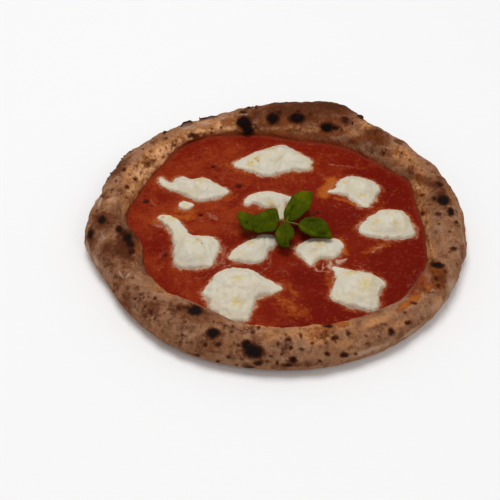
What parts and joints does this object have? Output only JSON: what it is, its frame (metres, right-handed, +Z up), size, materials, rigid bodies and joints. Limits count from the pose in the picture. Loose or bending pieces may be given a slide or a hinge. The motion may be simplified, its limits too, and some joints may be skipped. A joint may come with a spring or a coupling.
{
  "type": "pizza",
  "caption": "Round baked pizza with a puffed, charred rim, tomato sauce, torn pieces of soft white cheese and a sprig of basil in the middle.",
  "frame": {"origin": "under the middle of the crust, on the plane that its flat underside rests on", "axes": "+Z up; -Y towards the side that faces the viewer in the picture, +X to that viewer's right"},
  "size_m": [0.304, 0.3, 0.0327],
  "materials": {
    "crust": "matte baked dough with dark char spots",
    "sauce": "moist deep red tomato sauce",
    "mozzarella": "moist melted white cheese",
    "basil": "satin green leaf"
  },
  "bodies": {
    "root": {"crust": "crust", "sauce": "sauce", "mozzarella_back": "mozzarella", "mozzarella_back_left": "mozzarella", "mozzarella_crumb": "mozzarella", "mozzarella_middle": "mozzarella", "mozzarella_back_right": "mozzarella", "mozzarella_right": "mozzarella", "mozzarella_left": "mozzarella", "mozzarella_front_middle": "mozzarella", "mozzarella_front_left": "mozzarella", "mozzarella_middle_right": "mozzarella", "mozzarella_front_right": "mozzarella", "basil_sprig": "basil"}
  },
  "joints": []
}
